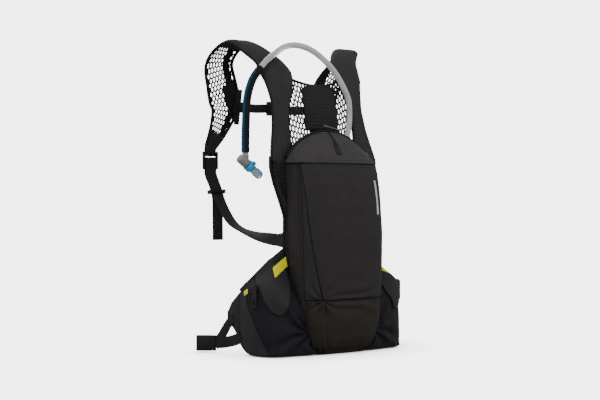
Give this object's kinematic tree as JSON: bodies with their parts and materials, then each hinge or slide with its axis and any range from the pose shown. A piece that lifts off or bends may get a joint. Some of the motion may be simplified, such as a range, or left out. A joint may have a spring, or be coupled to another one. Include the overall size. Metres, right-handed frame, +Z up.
{
  "type": "hydration pack",
  "caption": "Slim hydration backpack with an arched lid, see-through mesh yoke, padded shoulder straps, hip wings with pockets, and a drink tube with a bite valve.",
  "frame": {"origin": "middle of the flat bottom of the bag, which stands on a surface", "axes": "+Z up; +Y the way the wearer faces, so the harness is on the +Y side and the front panel faces -Y; -X is the wearer's left"},
  "size_m": [0.3708, 0.2337, 0.5144],
  "materials": {
    "shell_fabric": "ripstop nylon, satin",
    "lower_fabric": "coated nylon, satin",
    "mesh_fabric": "open hexagon mesh",
    "strap_fabric": "woven polyester over foam",
    "back_foam": "mesh-covered foam",
    "webbing": "nylon webbing",
    "grey_webbing": "grey cord and webbing",
    "black_plastic": "acetal, satin",
    "zip_nylon": "coil zip",
    "bladder_film": "clear film",
    "neoprene": "neoprene and rubber",
    "clear_tube": "translucent tube",
    "valve_grey": "moulded, satin",
    "valve_blue": "moulded, bright blue",
    "soft_mouthpiece": "clear silicone"
  },
  "bodies": {
    "pack_body": {"main_shell": "shell_fabric", "front_panel": "shell_fabric", "lower_panel": "lower_fabric", "main_zip_coil": "zip_nylon", "frame_sheet": "black_plastic", "back_pad": "back_foam", "yoke_mesh": "mesh_fabric", "spine_panel": "back_foam", "strap_pad_left": "strap_fabric", "strap_pad_right": "strap_fabric", "strap_rail_left": "webbing", "strap_rail_right": "webbing", "ladder_lock_left": "black_plastic", "ladder_lock_right": "black_plastic", "strap_webbing_left": "webbing", "strap_webbing_right": "webbing", "reservoir_divider": "mesh_fabric", "reservoir_bladder": "bladder_film", "reservoir_closure": "valve_blue", "reservoir_hanger": "webbing", "reservoir_outlet": "valve_grey", "tube_coupling": "valve_grey", "inner_tube": "clear_tube", "tube_port": "neoprene", "drink_tube": "clear_tube", "tube_sleeve": "neoprene"},
    "lid": {"top_lid": "shell_fabric", "light_loop": "grey_webbing"},
    "zip_slider_left": {"main_zip_slider_left": "zip_nylon"},
    "zip_pull_left": {"main_zip_pull_left": "grey_webbing"},
    "zip_slider_right": {"main_zip_slider_right": "zip_nylon"},
    "zip_pull_right": {"main_zip_pull_right": "grey_webbing"},
    "button": {"coupling_button": "valve_blue"},
    "keeper_left": {"webbing_keeper_left": "black_plastic"},
    "keeper_right": {"webbing_keeper_right": "black_plastic"},
    "chest_left": {"chest_slider_left": "black_plastic", "chest_webbing_left": "webbing", "chest_buckle_socket": "black_plastic"},
    "chest_right": {"chest_slider_right": "black_plastic", "chest_webbing_right": "webbing"},
    "chest_prongs": {"chest_buckle_prongs": "black_plastic"},
    "wing_left": {"wing_pad_left": "strap_fabric", "wing_tip_left": "strap_fabric", "hip_pocket_left": "mesh_fabric", "pocket_flap_left": "strap_fabric", "belt_webbing_left": "webbing"},
    "pocket_slider_left": {"pocket_slider_left": "black_plastic"},
    "pocket_pull_left": {"pocket_pull_left": "grey_webbing"},
    "wing_right": {"wing_pad_right": "strap_fabric", "wing_tip_right": "strap_fabric", "hip_pocket_right": "mesh_fabric", "pocket_flap_right": "strap_fabric", "belt_webbing_right": "webbing"},
    "pocket_slider_right": {"pocket_slider_right": "black_plastic"},
    "pocket_pull_right": {"pocket_pull_right": "grey_webbing"},
    "belt_socket": {"belt_buckle_socket": "black_plastic"},
    "belt_prongs": {"belt_buckle_prongs": "black_plastic"},
    "valve_elbow": {"valve_elbow": "valve_grey"},
    "valve_collar": {"valve_collar": "valve_blue", "mouthpiece": "soft_mouthpiece"}
  },
  "joints": [
    {"name": "lid_open", "type": "hinge", "parent": "pack_body", "child": "lid", "pos_m": [0, -0.018, 0.305], "axis": [1, 0, 0], "range_deg": [0, 110]},
    {"name": "main_zip_left", "type": "hinge", "parent": "pack_body", "child": "zip_slider_left", "pos_m": [0, 0.0245, 0.26191], "axis": [0, 1, 0], "range_deg": [-62, 30]},
    {"name": "main_zip_pull_left", "type": "hinge", "parent": "zip_slider_left", "child": "zip_pull_left", "pos_m": [0.02127, 0.0239, 0.36196], "axis": [0, 1, 0], "range_deg": [0, 150]},
    {"name": "main_zip_right", "type": "hinge", "parent": "pack_body", "child": "zip_slider_right", "pos_m": [0, 0.0245, 0.26191], "axis": [0, 1, 0], "range_deg": [-30, 0]},
    {"name": "main_zip_pull_right", "type": "hinge", "parent": "zip_slider_right", "child": "zip_pull_right", "pos_m": [0.0806, 0.0239, 0.32489], "axis": [0, 1, 0], "range_deg": [-150, 0]},
    {"name": "coupling_button_press", "type": "slide", "parent": "pack_body", "child": "button", "axis": [-1, 0, 0], "range_m": [0, 0.0015], "stiffness_N_per_m": 300},
    {"name": "keeper_slide_left", "type": "slide", "parent": "pack_body", "child": "keeper_left", "axis": [-0.179, 0.2386, 0.9545], "range_m": [-0.006, 0.006]},
    {"name": "keeper_slide_right", "type": "slide", "parent": "pack_body", "child": "keeper_right", "axis": [0.179, 0.2386, 0.9545], "range_m": [-0.006, 0.006]},
    {"name": "chest_height_left", "type": "slide", "parent": "pack_body", "child": "chest_left", "axis": [0, -0.179, 0.9838], "range_m": [-0.02, 0.02]},
    {"name": "chest_height_right", "type": "slide", "parent": "pack_body", "child": "chest_right", "axis": [0, -0.179, 0.9838], "range_m": [-0.02, 0.02]},
    {"name": "chest_buckle_release", "type": "slide", "parent": "chest_right", "child": "chest_prongs", "axis": [1, 0, 0], "range_m": [0, 0.018]},
    {"name": "wing_fold_left", "type": "hinge", "parent": "pack_body", "child": "wing_left", "pos_m": [-0.0783, 0.037, 0.08], "axis": [0, 0, 1], "range_deg": [-40, 0]},
    {"name": "pocket_zip_left", "type": "hinge", "parent": "wing_left", "child": "pocket_slider_left", "pos_m": [-0.098, 0.03, 0.108], "axis": [0, 0, 1], "range_deg": [-12, 70]},
    {"name": "pocket_pull_swing_left", "type": "hinge", "parent": "pocket_slider_left", "child": "pocket_pull_left", "pos_m": [-0.14645, 0.01611, 0.1094], "axis": [-0.2756, 0.9613, 0], "range_deg": [0, 100]},
    {"name": "wing_fold_right", "type": "hinge", "parent": "pack_body", "child": "wing_right", "pos_m": [0.0783, 0.037, 0.08], "axis": [0, 0, 1], "range_deg": [0, 40]},
    {"name": "pocket_zip_right", "type": "hinge", "parent": "wing_right", "child": "pocket_slider_right", "pos_m": [0.098, 0.03, 0.108], "axis": [0, 0, 1], "range_deg": [-70, 12]},
    {"name": "pocket_pull_swing_right", "type": "hinge", "parent": "pocket_slider_right", "child": "pocket_pull_right", "pos_m": [0.14645, 0.01611, 0.1094], "axis": [-0.2756, -0.9613, 0], "range_deg": [0, 100]},
    {"name": "belt_buckle_swing_left", "type": "hinge", "parent": "wing_left", "child": "belt_socket", "pos_m": [-0.16, 0.114, 0.014], "axis": [0, 0, 1], "range_deg": [-40, 40]},
    {"name": "belt_buckle_swing_right", "type": "hinge", "parent": "wing_right", "child": "belt_prongs", "pos_m": [0.16, 0.114, 0.014], "axis": [0, 0, 1], "range_deg": [-40, 40]},
    {"name": "valve_swivel", "type": "hinge", "parent": "pack_body", "child": "valve_elbow", "pos_m": [-0.131, 0.066, 0.314], "axis": [0, 0, 1], "range_deg": [-120, 120]},
    {"name": "valve_shut_off", "type": "hinge", "parent": "valve_elbow", "child": "valve_collar", "pos_m": [-0.142, 0.066, 0.314], "axis": [0.8022, 0, -0.597], "range_deg": [0, 90]}
  ],
  "couplings": [
    {"joint": "chest_height_right", "follows": "chest_height_left", "ratio": 1}
  ]
}
